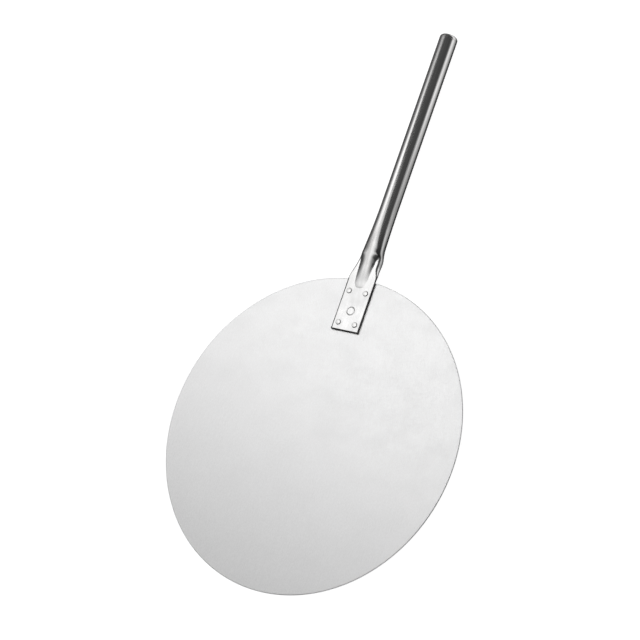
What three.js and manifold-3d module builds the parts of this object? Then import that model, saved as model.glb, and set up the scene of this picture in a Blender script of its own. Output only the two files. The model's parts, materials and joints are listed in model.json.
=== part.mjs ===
// Round pizza peel: a thin aluminium blade and a short tubular steel handle.
// The handle's inner end is pressed flat into a tab that lies on the blade and is held by four rivets.
// Millimetres. Origin: centre of the blade's flat underside. +X runs along the handle, +Z is up.
import * as THREE from 'three';
import { mergeVertices } from 'three/addons/utils/BufferGeometryUtils.js';
import Module from 'manifold-3d';

// ---- driving dimensions ----
const BLADE_RADIUS = 165;
const BLADE_THICKNESS = 1.5;
const BLADE_EDGE_BREAK = 0.25; // small chamfer on both sides of the rim
const BLADE_SEGMENTS = 72; // per half turn of the rim

const TUBE_OD = 19.05;
const TUBE_WALL = 1.0;
const TUBE_AXIS_Z = -1.5; // the round tube hangs almost centred on the blade
const HANDLE_END_X = 442; // outermost point of the end cap
const CAP_LENGTH = 4.8; // length of the cap that shows outside the tube
const CAP_SHOULDER = 3.4; // radius of the cap's rounded shoulder
const CAP_CROWN = 0.5; // how far the cap's end face bulges
const CAP_SPIGOT = 8; // length of the cap that plugs into the tube

const TAB_START_X = 108.6; // sheared inner end of the tab
const TAB_HALF_WIDTH = 16.0;
const TAB_THICKNESS = 2.2; // two tube walls pressed together
const END_ROLLOVER = 0.6; // the sheared end's upper edge is drawn down by this much
const SEAT_GAP = 0.2; // clearance under the tab
const FIT_GAP = 0.25; // clearance round shanks, tails and the cap's spigot

const RIVET_X = [116.7, 150.9];
const RIVET_HALF_SPAN = 9.7;
const RIVET_SHANK_RADIUS = 2;
const RIVET_HEAD_RADIUS = 2.9;
const RIVET_HEAD_HEIGHT = 0.8;
const RIVET_HEAD_GAP = 0.1;
const TAIL_RADIUS = 2.9; // flush tail, set in a countersink in the blade's underside
const TAIL_DEPTH = 1.0;

const STAMP_X = 130.2; // plain ring stamped between the rivets
const STAMP_RADIUS = 4.2;
const STAMP_WIDTH = 0.7;
const STAMP_DEPTH = 0.25;

const TUBE_RADIUS = TUBE_OD / 2;
const TAB_BOTTOM_Z = BLADE_THICKNESS + SEAT_GAP;
const TAB_MID_Z = TAB_BOTTOM_Z + TAB_THICKNESS / 2;
const TAB_TOP_Z = TAB_BOTTOM_Z + TAB_THICKNESS;
const TUBE_END_X = HANDLE_END_X - CAP_LENGTH - FIT_GAP;

// ---- how the round tube turns into the flat tab, by distance from the blade's centre ----
// half width of the section
const HALF_WIDTH = [
  [108.6, TAB_HALF_WIDTH], [163, TAB_HALF_WIDTH], [168, 15.65], [172, 14.95], [176, 13.9], [180, 13.15], [184, 12.8],
  [188, 12.6], [192, 12.2], [196, 11.4], [200, 10.9], [208, 10.5], [216, 10.2], [226, 9.9], [246, TUBE_RADIUS],
];
// height of its widest line
const WIDEST_Z = [
  [108.6, TAB_MID_Z], [163, TAB_MID_Z], [168, 2.5], [172, 1.6], [176, 0.2], [180, -1.2], [184, -1.9], [188, -1.6],
  [192, -0.8], [196, -0.1], [200, 0.2], [208, -0.3], [216, -0.9], [226, -1.3], [246, TUBE_AXIS_Z],
];
// height of the flattened shoulders
const SHOULDER_Z = [
  [108.6, TAB_TOP_Z], [177, TAB_TOP_Z], [181, 3.75], [184, 3.6], [187.5, 3.65], [190, 4.4], [193, 6.0], [196, 7.0],
  [200, 7.55], [208, 7.85], [216, 7.95], [246, TUBE_AXIS_Z + TUBE_RADIUS],
];
// height of the raised crown that runs out on the tab
const CREST_Z = [
  [108.6, TAB_TOP_Z], [155.2, TAB_TOP_Z], [156.6, 4.1], [160, 4.42], [164, 4.72], [168, 5.0], [172, 5.25], [176, 5.5],
  [180, 5.9], [184, 6.35], [188, 6.8], [192, 7.15], [195, 7.36], [200, 7.6], [208, 7.85], [216, 7.95],
  [246, TUBE_AXIS_Z + TUBE_RADIUS],
];
// half width of the crown
const CREST_HALF_WIDTH = [
  [155.2, 0.8], [155.7, 2.6], [157.0, 4.8], [160, 6.3], [164, 6.95], [168, 7.35], [172, 7.7], [176, 7.9], [180, 8.15],
  [184, 8.4], [188, 9.4], [192, 11.0], [196, 11.4],
];
// lowest line of the underside, which clears the blade's rim
const KEEL_Z = [
  [108.6, TAB_BOTTOM_Z], [167, TAB_BOTTOM_Z], [170, 0.6], [173, -1.0], [176, -3.0], [180, -5.4], [184, -7.2],
  [188, -8.4], [192, -9.2], [196, -9.8], [200, -10.2], [208, -10.6], [216, -10.8], [246, TUBE_AXIS_Z - TUBE_RADIUS],
];
// squareness of the section above and below its widest line; 2 is an ellipse
const TOP_POWER = [
  [166, 8], [172, 5], [176, 4], [188, 4], [192, 3.2], [196, 2.5], [200, 2.35], [208, 2.2], [216, 2.1], [232, 2.0],
];
const LOW_POWER = [[166, 6], [172, 4], [180, 2.8], [192, 2.4], [208, 2.1], [222, 2.0]];
const CREST_POWER = 3;
// 1 where the section is flat between two round folds, 0 where it is a rounded box or an oval
const PRESSED = [[108.6, 1], [165, 1], [172, 0.4], [177, 0], [246, 0]];
// stations along the handle where its section is built
const STATIONS = [
  108.6, 109.2, 155.2, 155.7, 157, 160, 162.5, 165, 167, 168.5, 170, 172, 174, 176, 178, 180, 182, 184, 186.5, 189, 192, 195,
  200, 204, 208, 216, 226, 236, 246, TUBE_END_X,
];

// Monotone cubic through [x, value] pairs, flat beyond both ends.
function profile(points) {
  const n = points.length;
  const slope = [];
  for (let i = 0; i < n - 1; i++) slope.push((points[i + 1][1] - points[i][1]) / (points[i + 1][0] - points[i][0]));
  const tangent = points.map((p, i) => {
    if (i === 0 || i === n - 1) return 0;
    const a = slope[i - 1], b = slope[i];
    return a * b <= 0 ? 0 : (2 * a * b) / (a + b);
  });
  return (x) => {
    if (x <= points[0][0]) return points[0][1];
    if (x >= points[n - 1][0]) return points[n - 1][1];
    let i = 0;
    while (x > points[i + 1][0]) i++;
    const h = points[i + 1][0] - points[i][0];
    const t = (x - points[i][0]) / h;
    const t2 = t * t, t3 = t2 * t;
    return (2 * t3 - 3 * t2 + 1) * points[i][1] + (t3 - 2 * t2 + t) * h * tangent[i]
      + (3 * t2 - 2 * t3) * points[i + 1][1] + (t3 - t2) * h * tangent[i + 1];
  };
}

const halfWidth = profile(HALF_WIDTH);
const widestZ = profile(WIDEST_Z);
const shoulderZ = profile(SHOULDER_Z);
const crestZ = profile(CREST_Z);
const crestHalfWidth = profile(CREST_HALF_WIDTH);
const keelZ = profile(KEEL_Z);
const topPower = profile(TOP_POWER);
const lowPower = profile(LOW_POWER);
const pressed = profile(PRESSED);

// Distance of the outline above (or below) the widest line of a section of half width w, at lateral place y.
function sectionRise(y, w, rise, power, k) {
  const u = Math.min(1, Math.abs(y) / w);
  const oval = rise * (1 - u ** power) ** (1 / power);
  const over = Math.min(1, Math.max(0, (Math.abs(y) - (w - rise)) / rise));
  const flat = rise * Math.sqrt(1 - over * over);
  return (1 - k) * oval + k * flat;
}

// Height of the raised crown over the shoulders.
function crownRise(y, height, w) {
  const u = Math.abs(y) / w;
  return u < 1 ? height * (1 - u ** CREST_POWER) : 0;
}

// ---- solids ----
const wasm = await Module();
wasm.setup();

function toSolid(geometry) {
  const g = (geometry.index ? geometry.toNonIndexed() : geometry).clone();
  for (const name of Object.keys(g.attributes)) if (name !== 'position') g.deleteAttribute(name);
  const merged = mergeVertices(g, 1e-4);
  return new wasm.Manifold(new wasm.Mesh({
    numProp: 3,
    vertProperties: new Float32Array(merged.attributes.position.array),
    triVerts: new Uint32Array(merged.index.array),
  }));
}

function toGeometry(solid) {
  const mesh = solid.getMesh();
  const g = new THREE.BufferGeometry();
  g.setAttribute('position', new THREE.BufferAttribute(new Float32Array(mesh.vertProperties), 3));
  g.setIndex(new THREE.BufferAttribute(new Uint32Array(mesh.triVerts), 1));
  const flat = g.toNonIndexed();
  flat.computeVertexNormals();
  return flat;
}

// A closed cylinder whose rings are moved to the given stations and reshaped by section(x, angle) -> [y, z].
function loft(stations, around, section, middle) {
  const g = new THREE.CylinderGeometry(1, 1, 1, around, stations.length - 1);
  const position = g.attributes.position;
  for (let i = 0; i < position.count; i++) {
    const px = position.getX(i), py = position.getY(i), pz = position.getZ(i);
    const ring = Math.round((0.5 - py) * (stations.length - 1));
    const x = stations[ring];
    if (Math.hypot(px, pz) < 0.5) {
      position.setXYZ(i, x, 0, middle(x));
      continue;
    }
    const step = Math.round((Math.atan2(pz, px) / (2 * Math.PI)) * around);
    const [y, z] = section(x, (step / around) * 2 * Math.PI);
    position.setXYZ(i, x, y, z);
  }
  return g;
}

// A profile of [radius, height] pairs turned about the Z axis.
function turned(pairs, segments) {
  return new THREE.LatheGeometry(pairs.map(([r, z]) => new THREE.Vector2(r, z)), segments).rotateX(Math.PI / 2);
}

// ---- materials ----
const aluminium = () => new THREE.MeshStandardMaterial({ color: 0xd9dadb, roughness: 0.42, metalness: 1 });
const polishedSteel = () => new THREE.MeshStandardMaterial({ color: 0xc9c8c6, roughness: 0.14, metalness: 1 });
const rivetMetal = () => new THREE.MeshStandardMaterial({ color: 0xcfcfcd, roughness: 0.3, metalness: 1 });

const peel = new THREE.Group();
const rivetPlaces = [
  ['rivet_rear_left', RIVET_X[1], RIVET_HALF_SPAN],
  ['rivet_rear_right', RIVET_X[1], -RIVET_HALF_SPAN],
  ['rivet_front_left', RIVET_X[0], RIVET_HALF_SPAN],
  ['rivet_front_right', RIVET_X[0], -RIVET_HALF_SPAN],
];
const holeRadius = RIVET_SHANK_RADIUS + FIT_GAP;

// Round blade with a broken edge, four rivet holes, and countersinks underneath for the flush tails.
{
  const outline = new THREE.Shape();
  outline.absarc(0, 0, BLADE_RADIUS - BLADE_EDGE_BREAK, 0, 2 * Math.PI, false);
  const disc = new THREE.ExtrudeGeometry(outline, {
    depth: BLADE_THICKNESS - 2 * BLADE_EDGE_BREAK,
    bevelEnabled: true,
    bevelThickness: BLADE_EDGE_BREAK,
    bevelSize: BLADE_EDGE_BREAK,
    bevelSegments: 1,
    curveSegments: BLADE_SEGMENTS,
  }).translate(0, 0, BLADE_EDGE_BREAK);
  let solid = toSolid(disc);
  const sinkRadius = TAIL_RADIUS + FIT_GAP;
  const slope = (TAIL_RADIUS - RIVET_SHANK_RADIUS) / TAIL_DEPTH;
  const drill = turned([
    [0, -1], [sinkRadius + slope, -1], [holeRadius, TAIL_DEPTH], [holeRadius, BLADE_THICKNESS + 1],
    [0, BLADE_THICKNESS + 1],
  ], 24);
  for (const [, x, y] of rivetPlaces) solid = solid.subtract(toSolid(drill.clone().translate(x, y, 0)));
  const mesh = new THREE.Mesh(toGeometry(solid), aluminium());
  mesh.name = 'blade';
  peel.add(mesh);
}

// Handle: round tube, oval where it starts to flatten, then a flat tab with a raised crown running out on it.
{
  const outer = loft(STATIONS, 44, (x, angle) => {
    const w = halfWidth(x);
    const y = w * Math.cos(angle);
    const up = Math.sin(angle) >= 0;
    const k = pressed(x);
    const rise = up
      ? sectionRise(y, w, shoulderZ(x) - widestZ(x), topPower(x), k)
        + crownRise(y, crestZ(x) - shoulderZ(x), crestHalfWidth(x))
      : -sectionRise(y, w, widestZ(x) - keelZ(x), lowPower(x), k);
    const onFold = Math.abs(Math.sin(angle)) < 1e-6;
    const drawn = up && x === TAB_START_X ? 1 - END_ROLLOVER / (TAB_THICKNESS / 2) : 1;
    return [y, widestZ(x) + (onFold ? 0 : rise * drawn)];
  }, widestZ);
  // Bore of the tube, which closes up under the crown.
  const boreStations = [166, 172, 176, 180, 184, 188, 192, 200, 208, 226, 246, TUBE_END_X + 1];
  const boreHalf = profile([[166, 1.5], [172, 4.4], [176, 6.2], [180, 8.0], [184, 9.6], [188, 10.3], [192, 10.5],
    [196, 10.1], [200, 9.5], [208, 9.0], [216, 8.75], [226, 8.5], [246, TUBE_RADIUS - TUBE_WALL]]);
  const boreTop = profile([[166, 3.6], [172, 4.2], [176, 4.55], [180, 4.9], [184, 5.25], [188, 5.6], [192, 5.9],
    [196, 6.15], [200, 6.35], [208, 6.6], [216, 6.7], [226, 6.75], [246, TUBE_AXIS_Z + TUBE_RADIUS - TUBE_WALL]]);
  const boreBottom = profile([[166, 3.1], [172, 0.8], [176, -1.8], [180, -4.2], [184, -6.0], [188, -7.2], [192, -8.0],
    [196, -8.6], [200, -9.0], [208, -9.4], [216, -9.6], [226, -9.7], [246, TUBE_AXIS_Z - TUBE_RADIUS + TUBE_WALL]]);
  const boreMid = (x) => (boreTop(x) + boreBottom(x)) / 2;
  const bore = loft(boreStations, 24, (x, angle) => [
    boreHalf(x) * Math.cos(angle),
    boreMid(x) + ((boreTop(x) - boreBottom(x)) / 2) * Math.sin(angle),
  ], boreMid);
  let solid = toSolid(outer).subtract(toSolid(bore));
  const hole = new THREE.CylinderGeometry(holeRadius, holeRadius, 8, 24).rotateX(Math.PI / 2);
  for (const [, x, y] of rivetPlaces) solid = solid.subtract(toSolid(hole.clone().translate(x, y, TAB_MID_Z)));
  // shallow stamped ring
  const ring = turned([
    [STAMP_RADIUS - STAMP_WIDTH / 2, -STAMP_DEPTH], [STAMP_RADIUS + STAMP_WIDTH / 2, -STAMP_DEPTH],
    [STAMP_RADIUS + STAMP_WIDTH / 2, 1], [STAMP_RADIUS - STAMP_WIDTH / 2, 1],
    [STAMP_RADIUS - STAMP_WIDTH / 2, -STAMP_DEPTH],
  ], 28);
  solid = solid.subtract(toSolid(ring.translate(STAMP_X, 0, TAB_TOP_Z)));
  const mesh = new THREE.Mesh(toGeometry(solid), polishedSteel());
  mesh.name = 'handle_tube';
  peel.add(mesh);
}

// Pressed cap that closes the free end: a spigot inside the bore, a rounded shoulder and a slightly domed face.
{
  const spigotRadius = TUBE_RADIUS - TUBE_WALL - FIT_GAP;
  const start = HANDLE_END_X - CAP_LENGTH;
  const faceX = HANDLE_END_X - CAP_CROWN;
  const pairs = [
    [spigotRadius - 1.2, start - CAP_SPIGOT], [spigotRadius, start - CAP_SPIGOT], [spigotRadius, start],
    [TUBE_RADIUS, start], [TUBE_RADIUS, faceX - CAP_SHOULDER],
  ];
  for (let i = 1; i <= 5; i++) {
    const a = (i / 5) * 0.5 * Math.PI * 0.9;
    pairs.push([TUBE_RADIUS - CAP_SHOULDER * (1 - Math.cos(a)), faceX - CAP_SHOULDER * (1 - Math.sin(a))]);
  }
  pairs.push([TUBE_RADIUS * 0.3, HANDLE_END_X - 0.08], [0, HANDLE_END_X], [0, HANDLE_END_X - 1.4]);
  pairs.push([5, HANDLE_END_X - 1.7], [spigotRadius - 1.2, HANDLE_END_X - 3.2], [spigotRadius - 1.2, start - CAP_SPIGOT]);
  const mesh = new THREE.Mesh(
    toGeometry(toSolid(turned(pairs, 36).rotateY(Math.PI / 2))),
    polishedSteel(),
  );
  mesh.name = 'handle_end_cap';
  mesh.position.set(0, 0, TUBE_AXIS_Z);
  peel.add(mesh);
}

// Four rivets: a low domed head on the tab, a shank through tab and blade, and a flush tail in the countersink.
for (const [name, x, y] of rivetPlaces) {
  const headZ = TAB_TOP_Z + RIVET_HEAD_GAP;
  const pairs = [
    [0, 0], [TAIL_RADIUS, 0], [RIVET_SHANK_RADIUS, TAIL_DEPTH], [RIVET_SHANK_RADIUS, headZ],
    [RIVET_HEAD_RADIUS, headZ], [RIVET_HEAD_RADIUS * 0.97, headZ + RIVET_HEAD_HEIGHT * 0.35],
    [RIVET_HEAD_RADIUS * 0.82, headZ + RIVET_HEAD_HEIGHT * 0.74],
    [RIVET_HEAD_RADIUS * 0.55, headZ + RIVET_HEAD_HEIGHT * 0.93], [0, headZ + RIVET_HEAD_HEIGHT],
  ];
  const mesh = new THREE.Mesh(toGeometry(toSolid(turned(pairs, 20))), rivetMetal());
  mesh.name = name;
  mesh.position.set(x, y, 0);
  peel.add(mesh);
}

export default peel;
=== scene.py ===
import json
import math

import bmesh
import bpy
import numpy as np
from mathutils import Matrix, Vector


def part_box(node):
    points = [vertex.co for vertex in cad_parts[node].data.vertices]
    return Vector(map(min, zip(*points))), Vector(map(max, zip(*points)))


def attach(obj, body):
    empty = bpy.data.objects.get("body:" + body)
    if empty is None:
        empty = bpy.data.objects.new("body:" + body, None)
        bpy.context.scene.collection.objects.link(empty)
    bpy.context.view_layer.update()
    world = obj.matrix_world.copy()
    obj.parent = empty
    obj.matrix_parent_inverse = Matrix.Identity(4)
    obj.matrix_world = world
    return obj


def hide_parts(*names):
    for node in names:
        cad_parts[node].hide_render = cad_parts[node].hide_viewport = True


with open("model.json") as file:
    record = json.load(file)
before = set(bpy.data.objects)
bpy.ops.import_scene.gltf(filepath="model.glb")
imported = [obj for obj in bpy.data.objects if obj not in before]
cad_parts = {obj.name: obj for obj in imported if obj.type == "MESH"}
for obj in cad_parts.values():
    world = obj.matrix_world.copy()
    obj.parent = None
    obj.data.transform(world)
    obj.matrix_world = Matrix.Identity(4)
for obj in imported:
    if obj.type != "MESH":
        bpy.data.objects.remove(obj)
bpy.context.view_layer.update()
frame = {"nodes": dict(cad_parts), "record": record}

scene = bpy.context.scene
record = frame["record"]
MM = 0.001

# ------------------------------------------------------------------ sizes, most read from the CAD model; the tube's radius, its wall and the tab's thickness are given
blade_lo, blade_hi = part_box("blade")
tube_lo, tube_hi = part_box("handle_tube")
cap_lo, cap_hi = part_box("handle_end_cap")
rivet_boxes = {n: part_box(n) for n in frame["nodes"] if n.startswith("rivet_")}

BLADE_R = (blade_hi.x - blade_lo.x) / 2 / MM
BLADE_T = (blade_hi.z - blade_lo.z) / MM
TUBE_R = 9.525
TUBE_Z = tube_lo.z / MM + TUBE_R
TAB_X = tube_lo.x / MM
TAB_W = (tube_hi.y - tube_lo.y) / 2 / MM
TUBE_END = tube_hi.x / MM
CAP_END = cap_hi.x / MM
RIVET_H = max(b[1].z for b in rivet_boxes.values()) / MM
RIVET_R = max((b[1].y - b[0].y) / 2 for b in rivet_boxes.values()) / MM
rivet_at = {
    n: ((b[0].x + b[1].x) / 2 / MM, (b[0].y + b[1].y) / 2 / MM)
    for n, b in rivet_boxes.items()
}
WALL = 1.0
TAB_T = 2.2
TAB_BOTTOM = BLADE_T + 0.2
TAB_MID = TAB_BOTTOM + TAB_T / 2
TAB_TOP = TAB_BOTTOM + TAB_T


# ------------------------------------------------------------------ small tools
def curve(points):
    """Monotone cubic through (x, value) pairs, flat beyond both ends."""
    px = np.array([p[0] for p in points], float)
    py = np.array([p[1] for p in points], float)
    d = np.diff(py) / np.diff(px)
    m = np.zeros(len(px))
    for i in range(1, len(px) - 1):
        a, b = d[i - 1], d[i]
        m[i] = 0.0 if a * b <= 0 else 2 * a * b / (a + b)

    def at(x):
        x = float(min(max(x, px[0]), px[-1]))
        i = int(min(max(np.searchsorted(px, x) - 1, 0), len(px) - 2))
        h = px[i + 1] - px[i]
        t = (x - px[i]) / h
        return (
            (2 * t**3 - 3 * t**2 + 1) * py[i]
            + (t**3 - 2 * t**2 + t) * h * m[i]
            + (3 * t**2 - 2 * t**3) * py[i + 1]
            + (t**3 - t**2) * h * m[i + 1]
        )

    return at


def make_mesh(name, verts_mm, faces, smooth_angle=35.0):
    me = bpy.data.meshes.new(name)
    me.from_pydata([tuple(c * MM for c in v) for v in verts_mm], [], faces)
    me.validate()
    bm = bmesh.new()
    bm.from_mesh(me)
    bmesh.ops.remove_doubles(bm, verts=bm.verts, dist=1e-7)
    bmesh.ops.recalc_face_normals(bm, faces=bm.faces)
    bm.to_mesh(me)
    bm.free()
    me.shade_smooth()
    me.set_sharp_from_angle(angle=math.radians(smooth_angle))
    o = bpy.data.objects.new(name, me)
    scene.collection.objects.link(o)
    return o


def lathe(pairs, segments, centre=(0, 0), closed=True):
    """Verts and faces of a profile of (radius, z) turned about a vertical axis, closed at both ends on the axis."""
    verts, faces, rings = [], [], []
    for r, z in pairs:
        if r < 1e-6:
            rings.append([len(verts)])
            verts.append((centre[0], centre[1], z))
        else:
            rings.append(list(range(len(verts), len(verts) + segments)))
            for k in range(segments):
                a = 2 * math.pi * k / segments
                verts.append((centre[0] + r * math.cos(a), centre[1] + r * math.sin(a), z))
    for a, b in zip(rings, rings[1:]):
        for k in range(segments):
            n = (k + 1) % segments
            if len(a) == 1 and len(b) == 1:
                continue
            if len(a) == 1:
                faces.append((a[0], b[n], b[k]))
            elif len(b) == 1:
                faces.append((a[k], a[n], b[0]))
            else:
                faces.append((a[k], a[n], b[n], b[k]))
    return verts, faces


# ------------------------------------------------------------------ camera, at the reference viewing angle
VIEW_R = 165.0 * MM
cam_data = bpy.data.cameras.new("camera")
cam = bpy.data.objects.new("camera", cam_data)
scene.collection.objects.link(cam)
scene.camera = cam
cam_data.sensor_width = 36.0
cam_data.lens = 36.0 * 2188.77 / 640.0
cam_data.dof.use_dof = False
cam_data.clip_start, cam_data.clip_end = 0.1, 100.0
right = Vector((0.3227, -0.8335, -0.4485))
up = Vector((0.9217, 0.1688, 0.3494))
back = Vector((-0.2155, -0.5261, 0.8227))
right.normalize()
up = (up - right * up.dot(right)).normalized()
back = right.cross(up)
place = Vector((-2.1926, -6.8653, 11.0395)) * VIEW_R + Vector((0, 0, BLADE_T * MM))
turn = Matrix.Rotation(math.radians(0.15), 4, "Z")
cam.matrix_world = turn @ Matrix(
    (
        (right.x, up.x, back.x, place.x),
        (right.y, up.y, back.y, place.y),
        (right.z, up.z, back.z, place.z),
        (0, 0, 0, 1),
    )
)

# ------------------------------------------------------------------ handle: tube, pressed transition and tab
half_left = curve(
    [(108.6, TAB_W), (163, TAB_W), (168, 15.7), (172, 15.0), (176, 14.3), (180, 13.5), (184, 12.9), (188, 12.2),
     (192, 11.5), (196, 11.0), (200, 10.7), (208, 10.4), (216, 10.2), (226, 9.9), (246, TUBE_R)]
)
# the press leaned a little, so the right fold stands further out than the left one
half_right = curve(
    [(108.6, TAB_W), (160, TAB_W), (164, 16.1), (168, 16.1), (172, 15.6), (176, 14.6), (180, 14.2), (184, 14.0),
     (188, 13.7), (192, 12.9), (196, 12.0), (200, 11.3), (208, 10.7), (216, 10.3), (226, 9.9), (246, TUBE_R)]
)
widest_z = curve(
    [(108.6, TAB_MID), (163, TAB_MID), (168, 2.5), (172, 1.6), (176, 0.4), (180, -0.6), (184, -1.0), (188, -1.0),
     (192, -0.5), (196, 0.0), (200, 0.2), (208, -0.3), (216, -0.9), (226, -1.3), (246, TUBE_Z)]
)
shoulder_z = curve(
    [(108.6, TAB_TOP), (177, TAB_TOP), (181, 3.75), (184, 3.6), (187.5, 3.65), (190, 4.4), (193, 6.0), (196, 7.0),
     (200, 7.55), (208, 7.85), (216, 7.95), (246, TUBE_Z + TUBE_R)]
)
crest_z = curve(
    [(108.6, TAB_TOP), (155.2, TAB_TOP), (156.6, 4.1), (160, 4.45), (164, 4.8), (168, 5.15), (172, 5.5), (176, 5.85),
     (180, 6.15), (184, 6.5), (188, 6.85), (192, 7.15), (195, 7.36), (200, 7.6), (208, 7.85), (216, 7.95),
     (246, TUBE_Z + TUBE_R)]
)
crest_w = curve(
    [(155.2, 0.8), (155.7, 2.6), (157.0, 4.8), (160, 6.3), (164, 6.95), (168, 7.35), (172, 7.7), (176, 7.9), (180, 8.3),
     (184, 8.7), (188, 9.6), (192, 11.0), (196, 11.4)]
)
keel_z = curve(
    [(108.6, TAB_BOTTOM), (167, TAB_BOTTOM), (170, 0.6), (173, -0.8), (176, -2.6), (180, -4.5), (184, -6.1),
     (188, -7.4), (192, -8.5), (196, -9.4), (200, -10.0), (208, -10.6), (216, -10.8), (246, TUBE_Z - TUBE_R)]
)
top_power = curve([(166, 8), (172, 5), (176, 4), (188, 4), (192, 3.2), (196, 2.5), (200, 2.35), (208, 2.2), (216, 2.1),
                   (232, 2.0)])
low_power = curve([(166, 6), (172, 4), (180, 2.8), (192, 2.4), (208, 2.1), (222, 2.0)])
pressed_top = curve([(108.6, 1), (186, 1), (194, 0.3), (199, 0), (246, 0)])
pressed_low = curve([(108.6, 1), (165, 1), (172, 0.4), (177, 0), (246, 0)])
fold_top = curve([(108.6, TAB_T / 2), (163, TAB_T / 2), (168, 1.4), (172, 2.0), (176, 2.7), (180, 3.1), (184, 3.0),
                  (188, 3.4), (194, 5.0), (246, 6.0)])
CREST_POWER = 2.7


def rise_at(y, w, rise, power, k, fold):
    """Distance of the section's outline above (or below) its widest line, at lateral place y."""
    u = min(1.0, abs(y) / w)
    oval = rise * (1 - u**power) ** (1 / power)
    over = min(1.0, max(0.0, (abs(y) - (w - fold)) / fold))
    flat = rise * math.sqrt(1 - over * over)
    return (1 - k) * oval + k * flat


def crown_at(y, height, w):
    """Height of the raised crown over the shoulders."""
    u = abs(y) / w
    return height * (1 - u**CREST_POWER) if u < 1 else 0.0


STAMP_X, STAMP_R, STAMP_W, STAMP_D = 130.2, 4.2, 0.7, 0.25
ROLLOVER = 0.8  # the sheared end's upper edge is drawn down over this length and depth


def tab_relief(x, y):
    """Fine relief of the tab's upper face: the stamped ring and a faint dishing round each rivet."""
    d = 0.0
    r = math.hypot(x - STAMP_X, y)
    g = abs(r - STAMP_R) / (STAMP_W / 2)
    if g < 1.6:
        d -= STAMP_D * (0.5 + 0.5 * math.cos(math.pi * min(1.0, g / 1.6)))
    for rx, ry in rivet_at.values():
        q = math.hypot(x - rx, y - ry)
        d -= 0.07 * math.exp(-((q / 4.2) ** 4))
    return d


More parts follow.
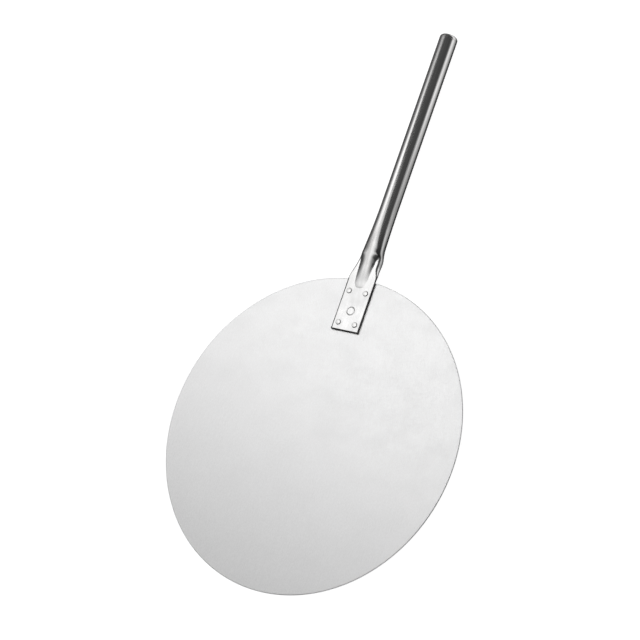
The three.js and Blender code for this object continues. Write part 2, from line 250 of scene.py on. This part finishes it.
def build_handle():
    e = TAB_T / 2
    arc = [1 - (e / TAB_W) * (1 - math.sin(a)) for a in np.radians(np.linspace(0, 84, 13))]
    # lateral places as shares of the half width, fine round the folds and in the middle of the tab
    inner = np.concatenate(
        [np.linspace(0, 0.36, 36, endpoint=False), np.linspace(0.36, arc[0], 24, endpoint=False)]
    )
    shares = list(inner) + arc
    u = [-s for s in reversed(shares[1:])] + shares  # from right fold to left fold, without the folds themselves
    upper = [-1.0] + u + [1.0]
    n_top = len(upper)
    stations = np.concatenate(
        [
            TAB_X + np.array([0, 0.03, 0.1, 0.2, 0.34, 0.52, 0.72]),
            np.arange(TAB_X + 0.8, 124.6, 0.8),
            np.arange(124.6, 135.9, 0.2),
            np.arange(136, 154.6, 0.8),
            np.arange(154.6, 158.0, 0.25),
            np.arange(158.2, 206, 0.8),
            np.arange(206.5, 246, 2.2),
            np.linspace(247, TUBE_END - 0.35, 14),
            [TUBE_END - 0.12, TUBE_END],
        ]
    )
    verts, faces = [], []

    def ring(x, shrink=0.0):
        wl, wr, fz = half_left(x), half_right(x), widest_z(x)
        kt, kl, ft = pressed_top(x), pressed_low(x), fold_top(x)
        sz, kz = shoulder_z(x) - fz, fz - keel_z(x)
        cw, ch = crest_w(x), crest_z(x) - shoulder_z(x)
        tp, lp = top_power(x), low_power(x)
        ids = []
        for i, s in enumerate(upper):  # top, from the right fold to the left one
            w = wl if s > 0 else wr
            y = w * s
            z = fz + (0 if abs(s) == 1 else rise_at(y, w, sz, tp, kt, ft) + crown_at(y, ch, cw))
            if x < 170 and abs(s) < 0.97:
                z += tab_relief(x, y)
            if x < TAB_X + ROLLOVER and z > fz:
                t = 1 - (x - TAB_X) / ROLLOVER
                z = fz + (z - fz) * (1 - ROLLOVER / (TAB_TOP - TAB_MID) * (1 - math.sqrt(max(0.0, 1 - t * t))))
            ids.append((x, y, z))
        for s in reversed(u):  # underside, back to the right fold
            w = wl if s > 0 else wr
            y = w * s
            ids.append((x, y, fz - rise_at(y, w, kz, lp, kl, min(kz, w))))
        if shrink:
            c = (0.0, fz)
            ids = [
                (x, y * (1 - shrink / max(w, 1)), c[1] + (z - c[1]) * (1 - shrink / max(abs(z - c[1]), w * 0.2, 1)))
                for x, y, z in ids
            ]
        start = len(verts)
        verts.extend(ids)
        return list(range(start, start + len(ids)))

    rings = [ring(x, 0.12 if x == stations[-1] else 0.0) for x in stations]
    m = len(rings[0])

    def bridge(a, b):
        for k in range(m):
            n = (k + 1) % m
            faces.append((a[k], a[n], b[n], b[k]))

    for a, b in zip(rings, rings[1:]):
        bridge(a, b)

    # sheared end of the tab: two walls with the pressed-shut slit between them
    first = rings[0]
    slit = 0.09
    depth = 1.1
    z0 = TAB_MID
    w = half_left(TAB_X)
    inside = [i for i, s in enumerate(upper) if abs(s) * w < w - e * 0.75]
    i0, i1 = inside[0], inside[-1]
    hi_front, lo_front, hi_back, lo_back = {}, {}, {}, {}
    for i in range(i0, i1 + 1):
        y = w * upper[i]
        lens = slit * (0.55 + 0.45 * math.cos(y * 0.42) * math.cos(y * 0.13 + 0.6))
        closed = 0.0 if i in (i0, i1) else 1.0
        for table, x, z in (
            (hi_front, TAB_X, z0 + lens * closed),
            (lo_front, TAB_X, z0 - lens * closed),
            (hi_back, TAB_X + depth * closed, z0 + lens * closed * 0.3),
            (lo_back, TAB_X + depth * closed, z0 - lens * closed * 0.3),
        ):
            table[i] = len(verts)
            verts.append((x, y, z))
    under = {}  # lateral index on the top to the vertex below it
    for j, i in enumerate(reversed(range(1, n_top - 1))):
        under[i] = first[n_top + j]
    for i in range(i0, i1):
        faces.append((first[i], first[i + 1], hi_front[i + 1], hi_front[i]))
        faces.append((lo_front[i], lo_front[i + 1], under[i + 1], under[i]))
        faces.append((hi_front[i], hi_front[i + 1], hi_back[i + 1], hi_back[i]))
        faces.append((lo_back[i], lo_back[i + 1], lo_front[i + 1], lo_front[i]))
        faces.append((hi_back[i], hi_back[i + 1], lo_back[i + 1], lo_back[i]))
    for i_end, way in ((i0, -1), (i1, 1)):
        # a C-shaped fold face, fanned from the slit's end
        hub = hi_front[i_end]
        if way < 0:
            seq = [under[i] for i in range(i0, 0, -1)] + [first[0]] + [first[i] for i in range(1, i0 + 1)]
        else:
            seq = [first[i] for i in range(i1, n_top)] + [under[i] for i in range(n_top - 2, i1 - 1, -1)]
        for a, b in zip(seq, seq[1:]):
            faces.append((hub, a, b))

    # the bore: turned in at the open end, running back until it closes under the crown
    bore_half = curve([(166, 1.5), (172, 4.4), (176, 6.2), (180, 8.0), (184, 9.6), (188, 10.3), (192, 10.5), (196, 10.1),
                       (200, 9.5), (208, 9.0), (216, 8.75), (226, 8.5), (246, TUBE_R - WALL)])
    bore_top = curve([(166, 3.6), (172, 4.2), (176, 4.55), (180, 4.9), (184, 5.25), (188, 5.6), (192, 5.9), (196, 6.15),
                      (200, 6.35), (208, 6.6), (216, 6.7), (226, 6.75), (246, TUBE_Z + TUBE_R - WALL)])
    bore_low = curve([(166, 3.1), (172, 1.0), (176, -1.4), (180, -3.3), (184, -4.9), (188, -6.2), (192, -7.3),
                      (196, -8.2), (200, -8.8), (208, -9.4), (216, -9.6), (226, -9.7), (246, TUBE_Z - TUBE_R + WALL)])
    outer_last = [verts[i] for i in rings[-1]]
    angles = [math.atan2(p[2] - TUBE_Z, p[1]) for p in outer_last]
    last = rings[-1]
    for x in [TUBE_END, TUBE_END - 0.2, 430, 400, 350, 300, 246, 236, 226, 216, 208, 204, 200, 196, 192, 188, 184, 180, 176,
              172, 169, 166]:
        lip = 0.15 if x == TUBE_END else 0.0
        hw, top, low = bore_half(x) + lip, bore_top(x) + lip, bore_low(x) - lip
        start = len(verts)
        for a in angles:
            verts.append((x, hw * math.cos(a), (top + low) / 2 + (top - low) / 2 * math.sin(a)))
        now = list(range(start, start + m))
        bridge(last, now)
        last = now
    hub = len(verts)
    verts.append((166, 0, 3.35))
    for k in range(m):
        faces.append((last[k], last[(k + 1) % m], hub))
    return make_mesh("handle_tube_pressed", verts, faces, 40)


handle = build_handle()
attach(handle, "root")
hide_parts("handle_tube")


# ------------------------------------------------------------------ end cap
def build_cap():
    seam = TUBE_END + 0.12
    shoulder, crown = 3.4, 0.5
    face = CAP_END - crown
    spigot = TUBE_R - WALL - 0.1
    pairs = [(spigot - 1.2, seam - 8), (spigot, seam - 8)]
    pairs += [(spigot, seam), (TUBE_R - 0.12, seam), (TUBE_R, seam + 0.12)]
    pairs += [(TUBE_R, x) for x in np.linspace(seam + 0.4, face - shoulder, 3)]
    arc_end = None
    for i in range(1, 19):
        a = math.radians(90 * 0.93 * i / 18)
        arc_end = (TUBE_R - shoulder * (1 - math.cos(a)), face - shoulder * (1 - math.sin(a)))
        pairs.append(arc_end)
    r0, x0 = arc_end
    for i in range(1, 9):
        t = i / 8
        pairs.append((r0 * (1 - t), x0 + (CAP_END - x0) * (1 - (1 - t) ** 2)))
    pairs += [(0, CAP_END - 1.3), (4.0, CAP_END - 1.5), (spigot - 1.2, CAP_END - 3.2), (spigot - 1.2, seam - 8)]
    seg = 128
    verts, faces = lathe(pairs, seg)
    # the lathe's axis is turned onto X and dropped to the tube's axis
    verts = [(z, x, TUBE_Z + y) for x, y, z in verts]
    return make_mesh("handle_end_cap_shell", verts, faces, 38)


cap = build_cap()
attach(cap, "root")
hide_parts("handle_end_cap")


# ------------------------------------------------------------------ rivets
def build_rivet(name, x, y, seed):
    head_z = TAB_TOP - 0.04
    top = RIVET_H
    R = RIVET_R
    h = top - head_z
    rng = np.random.default_rng(seed)
    pairs = [(0, 0.02), (2.6, 0.02), (2.86, 0.06), (2.9, 0.12), (2.0, 1.0), (2.0, head_z - 0.3), (2.05, head_z)]
    pairs += [(R - 0.1, head_z), (R, head_z + 0.1), (R * 0.985, head_z + 0.36 * h)]
    for i in range(1, 9):  # rolled shoulder
        a = math.radians(90 * i / 8)
        pairs.append((R * (0.80 + 0.185 * math.cos(a)), head_z + h * (0.36 + 0.46 * math.sin(a))))
    for i in range(1, 7):  # barely domed crown
        t = i / 6
        pairs.append((R * 0.80 * (1 - t), head_z + h * (0.82 + 0.18 * (1 - (1 - t) ** 2))))
    verts, faces = lathe(pairs, 56, (x, y))
    wob = rng.uniform(-1, 1, 4)
    out = []
    for vx, vy, vz in verts:
        if vz > head_z + 0.2:  # a driven head is never a perfect dome
            a = math.atan2(vy - y, vx - x)
            vz += 0.02 * wob[0] * math.cos(a + 3 * wob[1]) * (math.hypot(vx - x, vy - y) / R)
        out.append((vx, vy, min(vz, top)))
    return make_mesh(name + "_driven", out, faces, 50)


rivets = {}
for number, (name, (x, y)) in enumerate(sorted(rivet_at.items())):
    o = build_rivet(name, x, y, 11 + number)
    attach(o, "root")
    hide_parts(name)
    rivets[name] = o


# ------------------------------------------------------------------ blade
def build_blade():
    """Sheet disc with a rolled-over edge, the faint waviness of real sheet, and countersunk rivet holes."""
    edge = 0.45
    radii = [4, 12] + list(np.linspace(22, 150, 17)) + [156, 160.5, 163, 164.2]
    radii = [r * BLADE_R / 165 for r in radii]
    profile = [(0, BLADE_T)] + [(r, BLADE_T) for r in radii]
    for i in range(0, 7):
        a = math.radians(90 - 90 * i / 6)
        profile.append((BLADE_R - edge + edge * math.cos(a), BLADE_T - edge + edge * math.sin(a)))
    for i in range(0, 7):
        a = math.radians(-90 * i / 6)
        profile.append((BLADE_R - edge + edge * math.cos(a), edge + edge * math.sin(a)))
    profile += [(r, 0.0) for r in reversed(radii)] + [(0, 0.0)]
    verts, faces = lathe(profile, 288)

    def wave(x, y):
        r = math.hypot(x, y) / BLADE_R
        keep = min(1.0, max(0.0, (math.hypot(x - 133, y * 1.2) - 34) / 50))  # flat under the tab
        return keep * r**2 * (
            0.025 * math.sin(x * 0.021 + y * 0.013 + 0.6) + 0.012 * math.sin(y * 0.034 - x * 0.009 + 2.1)
            + 0.006 * math.sin(x * 0.06 + 0.3) * math.sin(y * 0.052 + 1.0)
        )

    out = [(x, y, z + wave(x, y) - 0.0) for x, y, z in verts]
    o = make_mesh("blade_sheet", out, faces, 60)
    cutters = []
    for x, y in rivet_at.values():
        pairs = [(0, -1.0), (4.05, -1.0), (3.15, 0.0), (2.25, 1.0), (2.25, BLADE_T + 1), (0, BLADE_T + 1)]
        v, f = lathe(pairs, 48, (x, y))
        cutters.append(make_mesh("cutter", v, f))
    for c in cutters:
        mod = o.modifiers.new("hole", "BOOLEAN")
        mod.operation, mod.object, mod.solver = "DIFFERENCE", c, "EXACT"
    dg = bpy.context.evaluated_depsgraph_get()
    me = bpy.data.meshes.new_from_object(o.evaluated_get(dg))
    o.modifiers.clear()
    o.data = me
    me.set_sharp_from_angle(angle=math.radians(45))
    for c in cutters:
        bpy.data.objects.remove(c)
    return o


blade = build_blade()
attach(blade, "root")
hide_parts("blade")


# ------------------------------------------------------------------ materials
def new_material(name):
    m = bpy.data.materials.new(name)
    m.use_nodes = True
    nt = m.node_tree
    nt.nodes.clear()
    out = nt.nodes.new("ShaderNodeOutputMaterial")
    p = nt.nodes.new("ShaderNodeBsdfPrincipled")
    nt.links.new(p.outputs[0], out.inputs["Surface"])
    return m, nt, p


def node(nt, kind, **values):
    n = nt.nodes.new(kind)
    for k, v in values.items():
        if k in n.inputs:
            n.inputs[k].default_value = v
        else:
            setattr(n, k, v)
    return n


def ramp(nt, source, a, b, lo, hi):
    """Map source from a..b to lo..hi, clamped."""
    n = nt.nodes.new("ShaderNodeMapRange")
    n.clamp = True
    n.inputs["From Min"].default_value = a
    n.inputs["From Max"].default_value = b
    n.inputs["To Min"].default_value = lo
    n.inputs["To Max"].default_value = hi
    nt.links.new(source, n.inputs["Value"])
    return n.outputs[0]


def math_node(nt, op, a, b=None):
    n = nt.nodes.new("ShaderNodeMath")
    n.operation = op
    for i, v in enumerate((a, b)):
        if v is None:
            continue
        if isinstance(v, (int, float)):
            n.inputs[i].default_value = v
        else:
            nt.links.new(v, n.inputs[i])
    return n.outputs[0]


def mix_colour(nt, fac, a, b):
    n = nt.nodes.new("ShaderNodeMix")
    n.data_type = "RGBA"
    if isinstance(fac, (int, float)):
        n.inputs["Factor"].default_value = fac
    else:
        nt.links.new(fac, n.inputs["Factor"])
    for i, v in ((6, a), (7, b)):
        if isinstance(v, tuple):
            n.inputs[i].default_value = v
        else:
            nt.links.new(v, n.inputs[i])
    return n.outputs[2]


def stretched_noise(nt, coords, scale, detail=3.0, rough=0.6):
    mp = nt.nodes.new("ShaderNodeMapping")
    mp.inputs["Scale"].default_value = scale
    nt.links.new(coords, mp.inputs["Vector"])
    n = nt.nodes.new("ShaderNodeTexNoise")
    n.inputs["Scale"].default_value = 1.0
    n.inputs["Detail"].default_value = detail
    n.inputs["Roughness"].default_value = rough
    nt.links.new(mp.outputs[0], n.inputs["Vector"])
    return n.outputs[0]


def aluminium_material():
    m, nt, p = new_material("satin_aluminium_sheet")
    tc = nt.nodes.new("ShaderNodeTexCoord")
    obj = tc.outputs["Object"]
    grain_fine = stretched_noise(nt, obj, (520, 900, 520), 2.0, 0.7)
    grain_line = stretched_noise(nt, obj, (60, 1500, 60), 3.0, 0.65)
    cloud = stretched_noise(nt, obj, (14, 14, 14), 3.0, 0.55)
    smudge = stretched_noise(nt, obj, (38, 26, 30), 4.0, 0.6)
    both = math_node(nt, "ADD", math_node(nt, "MULTIPLY", grain_fine, 0.6), math_node(nt, "MULTIPLY", grain_line, 0.4))
    tone = ramp(nt, both, 0.32, 0.68, 0.0, 1.0)
    base = mix_colour(nt, tone, (0.80, 0.80, 0.80, 1), (0.92, 0.92, 0.92, 1))
    base = mix_colour(nt, ramp(nt, cloud, 0.35, 0.7, 0.0, 0.12), base, (0.835, 0.835, 0.84, 1))
    # painted shade: the base colour darkens towards the rim, standing in for the dark outline along the blade's edge
    sep = nt.nodes.new("ShaderNodeSeparateXYZ")
    nt.links.new(obj, sep.inputs[0])
    rr = math_node(nt, "SQRT", math_node(nt, "ADD", math_node(nt, "MULTIPLY", sep.outputs[0], sep.outputs[0]),
                                         math_node(nt, "MULTIPLY", sep.outputs[1], sep.outputs[1])))
    rim = ramp(nt, rr, (BLADE_R - 1.6) * MM, BLADE_R * MM, 0.0, 1.0)
    base = mix_colour(nt, math_node(nt, "MULTIPLY", rim, 0.3), base, (0.60, 0.60, 0.605, 1))
    nt.links.new(base, p.inputs["Base Color"])
    p.inputs["Metallic"].default_value = 1.0
    rough = math_node(nt, "ADD", ramp(nt, both, 0.3, 0.7, 0.40, 0.52), ramp(nt, smudge, 0.4, 0.75, 0.0, 0.025))
    nt.links.new(rough, p.inputs["Roughness"])
    bump = nt.nodes.new("ShaderNodeBump")
    bump.inputs["Strength"].default_value = 0.35
    bump.inputs["Distance"].default_value = 0.00012
    nt.links.new(both, bump.inputs["Height"])
    nt.links.new(bump.outputs[0], p.inputs["Normal"])
    return m


def steel_material():
    """Polished tube with lengthwise polishing lines; the pressed tab is duller, and painted shade darkens its raised
    crown, its folded sides and its sheared end.
    """
    m, nt, p = new_material("polished_stainless")
    tc = nt.nodes.new("ShaderNodeTexCoord")
    obj = tc.outputs["Object"]
    sep = nt.nodes.new("ShaderNodeSeparateXYZ")
    nt.links.new(obj, sep.inputs[0])
    polish = stretched_noise(nt, obj, (40, 900, 900), 3.0, 0.6)  # fine lines along the tube
    streak = stretched_noise(nt, obj, (11, 330, 330), 2.0, 0.5)  # broad soft streaks
    cloud = stretched_noise(nt, obj, (60, 90, 90), 4.0, 0.6)
    press = ramp(nt, sep.outputs[0], 0.186, 0.166, 0.0, 1.0)  # 1 on the pressed tab
    tone = 0.585
    base = mix_colour(nt, ramp(nt, polish, 0.3, 0.7, 0.0, 1.0), (tone * 0.94, tone * 0.93, tone * 0.925, 1),
                      (tone * 1.05, tone * 1.045, tone * 1.04, 1))
    base = mix_colour(nt, ramp(nt, streak, 0.45, 0.72, 0.0, 0.6), base, (tone * 0.8, tone * 0.78, tone * 0.77, 1))
    base = mix_colour(nt, math_node(nt, "MULTIPLY", press, ramp(nt, cloud, 0.35, 0.7, 0.5, 0.9)), base,
                      (0.545, 0.545, 0.545, 1))
    # painted shade: the raised crown's base colour is pushed towards black, most on its right flank, standing in for
    # the dark reflections on its slopes
    lifted = math_node(nt, "MAXIMUM", ramp(nt, sep.outputs[2], 0.0041, 0.0048, 0.0, 1.0),
                       math_node(nt, "MULTIPLY", ramp(nt, sep.outputs[0], 0.184, 0.192, 0.0, 1.0),
                                 ramp(nt, sep.outputs[2], 0.0, 0.005, 0.0, 1.0)))
    crown_painted_shade = math_node(nt, "MULTIPLY", ramp(nt, sep.outputs[0], 0.152, 0.184, 0.0, 0.42),
                      ramp(nt, sep.outputs[0], 0.198, 0.222, 1.0, 0.0))
    base = mix_colour(nt, math_node(nt, "MULTIPLY", lifted, crown_painted_shade), base, (0.0, 0.0, 0.0, 1))
    right_flank_painted_shade = math_node(nt, "MULTIPLY", ramp(nt, sep.outputs[0], 0.164, 0.178, 0.0, 0.55),
                      ramp(nt, sep.outputs[0], 0.190, 0.202, 1.0, 0.0))
    right_flank_painted_shade = math_node(nt, "MULTIPLY", right_flank_painted_shade, ramp(nt, sep.outputs[1], -0.0025, -0.0075, 0.0, 1.0))
    # painted shade on the right flank, added to the crown's painted shade
    base = mix_colour(nt, math_node(nt, "MULTIPLY", lifted, right_flank_painted_shade), base, (0.0, 0.0, 0.0, 1))
    # painted shade: near-black base colour along the folded sides and the sheared end of the tab, standing in for the
    # dark reflections and contact shadow at the tab's edges
    left = ramp(nt, sep.outputs[1], (TAB_W - 1.8) * MM, (TAB_W - 1.3) * MM, 0.0, 1.0)
    left = math_node(nt, "MULTIPLY", left, ramp(nt, sep.outputs[0], 0.166, 0.163, 0.0, 1.0))
    right = ramp(nt, sep.outputs[1], -(TAB_W - 0.7) * MM, -(TAB_W - 0.2) * MM, 0.0, 1.0)
    edge = math_node(nt, "MAXIMUM", left, right)
    cut = ramp(nt, sep.outputs[0], (TAB_X + 1.4) * MM, (TAB_X + 1.0) * MM, 0.0, 1.0)
    fold_painted_shade = math_node(nt, "MAXIMUM", math_node(nt, "MULTIPLY", edge, ramp(nt, cloud, 0.3, 0.6, 0.82, 0.98)), cut)
    # the painted shade along the folds and the sheared end is mixed into the base colour here
    base = mix_colour(nt, fold_painted_shade, base, (0.022, 0.021, 0.020, 1))
    nt.links.new(base, p.inputs["Base Color"])
    p.inputs["Metallic"].default_value = 1.0
    shine = math_node(nt, "ADD", ramp(nt, polish, 0.3, 0.7, 0.10, 0.15), ramp(nt, streak, 0.4, 0.75, 0.0, 0.07))
    dull = ramp(nt, cloud, 0.3, 0.75, 0.26, 0.36)
    mix = nt.nodes.new("ShaderNodeMix")
    mix.data_type = "FLOAT"
    nt.links.new(press, mix.inputs[0])
    nt.links.new(shine, mix.inputs[2])
    nt.links.new(dull, mix.inputs[3])
    nt.links.new(mix.outputs[0], p.inputs["Roughness"])
    height = math_node(nt, "ADD", math_node(nt, "MULTIPLY", polish, 0.25), math_node(nt, "MULTIPLY", streak, 1.0))
    bump = nt.nodes.new("ShaderNodeBump")
    bump.inputs["Strength"].default_value = 0.5
    bump.inputs["Distance"].default_value = 0.0002
    nt.links.new(height, bump.inputs["Height"])
    nt.links.new(bump.outputs[0], p.inputs["Normal"])
    return m


def rivet_material():
    m, nt, p = new_material("driven_rivet_metal")
    tc = nt.nodes.new("ShaderNodeTexCoord")
    obj = tc.outputs["Object"]
    scuff = stretched_noise(nt, obj, (700, 700, 700), 4.0, 0.6)
    base = mix_colour(nt, ramp(nt, scuff, 0.3, 0.7, 0.0, 1.0), (0.47, 0.467, 0.463, 1), (0.56, 0.556, 0.552, 1))
    nt.links.new(base, p.inputs["Base Color"])
    p.inputs["Metallic"].default_value = 1.0
    nt.links.new(ramp(nt, scuff, 0.3, 0.7, 0.17, 0.30), p.inputs["Roughness"])
    bump = nt.nodes.new("ShaderNodeBump")
    bump.inputs["Strength"].default_value = 0.3
    bump.inputs["Distance"].default_value = 0.00005
    nt.links.new(scuff, bump.inputs["Height"])
    nt.links.new(bump.outputs[0], p.inputs["Normal"])
    return m


def assign(o, m):
    o.data.materials.clear()
    o.data.materials.append(m)


aluminium = aluminium_material()
steel = steel_material()
rivet_metal = rivet_material()
assign(blade, aluminium)
assign(handle, steel)
assign(cap, steel)
for o in rivets.values():
    assign(o, rivet_metal)
aluminium_cad, steel_cad, rivet_cad = aluminium, steel, rivet_metal
for n, o in frame["nodes"].items():
    assign(o, aluminium if n == "blade" else rivet_metal if n.startswith("rivet") else steel)

# ------------------------------------------------------------------ floor: the peel lies on its far rim and the start of the tube
slope = min(math.atan2(v.co.z, v.co.x + BLADE_R * MM) for v in handle.data.vertices if v.co.x > 0.0)
floor_mesh = bpy.data.meshes.new("floor")
bm = bmesh.new()
bmesh.ops.create_grid(bm, x_segments=8, y_segments=8, size=12.0)
bm.to_mesh(floor_mesh)
bm.free()
floor = bpy.data.objects.new("floor", floor_mesh)
scene.collection.objects.link(floor)
floor.rotation_euler = (0, -slope, 0)
floor.location = (-BLADE_R * MM, 0, -0.0002)
m, nt, p = new_material("pale_floor")
p.inputs["Base Color"].default_value = (0.35, 0.35, 0.35, 1)
p.inputs["Roughness"].default_value = 0.9
p.inputs["Emission Color"].default_value = (1, 1, 1, 1)
p.inputs["Emission Strength"].default_value = 0.95
assign(floor, m)
floor.visible_glossy = False


# ------------------------------------------------------------------ studio light
BOX_LEVEL = 2.42
GRAD_A, GRAD_B = -0.02, 0.45


def ease(nt, source, a, b):
    """0 below a, 1 above b, smooth between."""
    n = nt.nodes.new("ShaderNodeMapRange")
    n.interpolation_type = "SMOOTHSTEP"
    n.clamp = True
    n.inputs["From Min"].default_value = a
    n.inputs["From Max"].default_value = b
    nt.links.new(source, n.inputs["Value"])
    return n.outputs[0]


# one large overhead panel at 1.2 m: a bright soft box with a slanted far edge, and a dim grey cloth beyond it
BOX_H = 1.2
box_mesh = bpy.data.meshes.new("soft_box")
corners = [(-0.6, -0.9), (1.7, -0.9), (1.7, 3.0), (-0.6, 3.0)]
box_mesh.from_pydata([(x, y, BOX_H) for x, y in corners], [], [(3, 2, 1, 0)])
soft_box = bpy.data.objects.new("soft_box", box_mesh)
scene.collection.objects.link(soft_box)
soft_box.visible_camera = False
soft_box.visible_shadow = False
mat = bpy.data.materials.new("soft_box_cloth")
mat.use_nodes = True
nt = mat.node_tree
nt.nodes.clear()
out = nt.nodes.new("ShaderNodeOutputMaterial")
em = nt.nodes.new("ShaderNodeEmission")
nt.links.new(em.outputs[0], out.inputs[0])
geo = nt.nodes.new("ShaderNodeNewGeometry")
sep = nt.nodes.new("ShaderNodeSeparateXYZ")
nt.links.new(geo.outputs["Position"], sep.inputs[0])
px, py = sep.outputs[0], sep.outputs[1]
# slanted edge, steeper beyond y = 0.3, soft over a width that grows with y
edge = math_node(nt, "ADD", math_node(nt, "MULTIPLY", math_node(nt, "MAXIMUM", py, 0.0), 0.06),
                 math_node(nt, "MULTIPLY", math_node(nt, "MAXIMUM", math_node(nt, "SUBTRACT", py, 0.3), 0.0), 0.35))
edge = math_node(nt, "ADD", edge, math_node(nt, "MULTIPLY", math_node(nt, "MINIMUM", py, 0.0), 0.38))
edge = math_node(nt, "ADD", edge, 0.61)
over = math_node(nt, "DIVIDE", math_node(nt, "SUBTRACT", px, edge),
                 math_node(nt, "ADD", 0.02, math_node(nt, "MULTIPLY", math_node(nt, "MAXIMUM", py, 0.0), 0.04)))
inside = math_node(nt, "SUBTRACT", 1.0, ease(nt, over, -1.0, 1.0))
gradient = math_node(nt, "ADD", 0.10, math_node(nt, "MULTIPLY", ease(nt, px, GRAD_A, GRAD_B), 0.90))
front_rise = ramp(nt, py, -0.7, 0.6, 0.05, 1.0)
# over the blade the box stays bright further towards the viewer
front_wide = ramp(nt, py, -0.7, 0.3, 0.35, 1.12)
over_blade = ease(nt, px, 0.42, 0.32)
front_rise = math_node(nt, "ADD", math_node(nt, "MULTIPLY", front_wide, over_blade),
                       math_node(nt, "MULTIPLY", front_rise, math_node(nt, "SUBTRACT", 1.0, over_blade)))
far_fall = ramp(nt, py, 0.5, 1.8, 1.15, 0.20)
main = math_node(nt, "MULTIPLY", math_node(nt, "MULTIPLY", inside, gradient), math_node(nt, "MULTIPLY", front_rise, far_fall))
# the end of the box over the handle runs a little lower
main = math_node(nt, "MULTIPLY", main, math_node(nt, "SUBTRACT", 1.0, math_node(nt, "MULTIPLY", ease(nt, px, 0.47, 0.54), 0.52)))
main = math_node(nt, "MULTIPLY", main, math_node(nt, "ADD", 1.0, math_node(nt, "MULTIPLY", ease(nt, px, 0.55, 0.63), 0.60)))
grey = math_node(nt, "MULTIPLY", ease(nt, py, 0.2, 0.85),
                 math_node(nt, "SUBTRACT", 1.0, math_node(nt, "MULTIPLY", ease(nt, py, 1.2, 2.3), 0.6)))
grey = math_node(nt, "MULTIPLY", grey, ease(nt, px, 0.5, 0.85))
level = math_node(nt, "ADD", math_node(nt, "MULTIPLY", main, BOX_LEVEL),
                  math_node(nt, "ADD", math_node(nt, "MULTIPLY", grey, 0.42), 0.10))
front = math_node(nt, "SUBTRACT", 1.0, geo.outputs["Backfacing"])
nt.links.new(math_node(nt, "MULTIPLY", level, front), em.inputs[1])
box_mesh.materials.append(mat)

# a half-stop net on the viewer's side, which dims the table light on the near part of the handle
net_mesh = bpy.data.meshes.new("net")
net_mesh.from_pydata([(-0.9, -1.2, -1.3), (0.81, -1.2, -1.3), (0.81, -1.2, 0.5), (-0.9, -1.2, 0.5)], [], [(0, 1, 2, 3)])
net = bpy.data.objects.new("net", net_mesh)
scene.collection.objects.link(net)
net.visible_camera = False
net.visible_shadow = False
net.visible_diffuse = False
mat = bpy.data.materials.new("net_cloth")
mat.use_nodes = True
nt = mat.node_tree
nt.nodes.clear()
out = nt.nodes.new("ShaderNodeOutputMaterial")
tr = nt.nodes.new("ShaderNodeBsdfTransparent")
nt.links.new(tr.outputs[0], out.inputs[0])
geo = nt.nodes.new("ShaderNodeNewGeometry")
sep = nt.nodes.new("ShaderNodeSeparateXYZ")
nt.links.new(geo.outputs["Position"], sep.inputs[0])
thin = nt.nodes.new("ShaderNodeMapRange")
thin.interpolation_type = "SMOOTHSTEP"
thin.inputs["From Min"].default_value, thin.inputs["From Max"].default_value = 0.58, 0.80
thin.inputs["To Min"].default_value, thin.inputs["To Max"].default_value = 0.45, 1.0
nt.links.new(sep.outputs[0], thin.inputs["Value"])
nt.links.new(thin.outputs[0], tr.inputs[0])
net_mesh.materials.append(mat)

# the room, by direction: dark on the viewer's side above, pale table light under the horizon in front, dim behind
world = bpy.data.worlds.new("studio")
scene.world = world
world.use_nodes = True
nt = world.node_tree
nt.nodes.clear()
out = nt.nodes.new("ShaderNodeOutputWorld")
bg_cam = nt.nodes.new("ShaderNodeBackground")
bg_cam.inputs[0].default_value = (1, 1, 1, 1)
bg_cam.inputs[1].default_value = 1.05
bg = nt.nodes.new("ShaderNodeBackground")
bg.inputs[0].default_value = (1, 1, 1, 1)
tcw = nt.nodes.new("ShaderNodeTexCoord")
sepw = nt.nodes.new("ShaderNodeSeparateXYZ")
nt.links.new(tcw.outputs["Generated"], sepw.inputs[0])
wx, wy, wz = sepw.outputs


def steps(nt, source, stops, scale):
    """Piecewise-linear level over the height of the direction, from (height, level) pairs."""
    n = nt.nodes.new("ShaderNodeValToRGB")
    els = n.color_ramp.elements
    while len(els) < len(stops):
        els.new(0.5)
    for e, (h, v) in zip(els, stops):
        e.position = (h + 1) / 2
        e.color = (v / scale, v / scale, v / scale, 1)
    nt.links.new(math_node(nt, "ADD", math_node(nt, "MULTIPLY", source, 0.5), 0.5), n.inputs[0])
    return math_node(nt, "MULTIPLY", n.outputs[0], scale)


front_level = steps(nt, wz, [(-1.0, 0.02), (-0.93, 0.04), (-0.88, 0.06), (-0.79, 0.20), (-0.6, 0.62), (-0.36, 1.08),
                             (-0.14, 1.45), (-0.02, 1.40), (0.07, 1.15), (0.17, 0.64), (0.27, 0.22), (0.38, 0.1),
                             (0.5, 0.085), (1.0, 0.1)], 2.0)
back_level = steps(nt, wz, [(-1.0, 0.04), (-0.3, 0.1), (0.0, 0.17), (0.3, 0.2), (0.5, 0.24), (1.0, 0.3)], 2.0)
back_side = ease(nt, wy, -0.1, 0.1)  # 1 behind the peel, 0 on the viewer's side
mix = nt.nodes.new("ShaderNodeMix")
mix.data_type = "FLOAT"
nt.links.new(back_side, mix.inputs[0])
nt.links.new(front_level, mix.inputs[2])
nt.links.new(back_level, mix.inputs[3])
nt.links.new(mix.outputs[0], bg.inputs[1])
lp = nt.nodes.new("ShaderNodeLightPath")
mixw = nt.nodes.new("ShaderNodeMixShader")
nt.links.new(lp.outputs["Is Camera Ray"], mixw.inputs[0])
nt.links.new(bg.outputs[0], mixw.inputs[1])
nt.links.new(bg_cam.outputs[0], mixw.inputs[2])
nt.links.new(mixw.outputs[0], out.inputs["Surface"])

scene.view_settings.view_transform = "Standard"
scene.view_settings.look = "None"
scene.view_settings.exposure = 0.0
scene.view_settings.gamma = 1.0
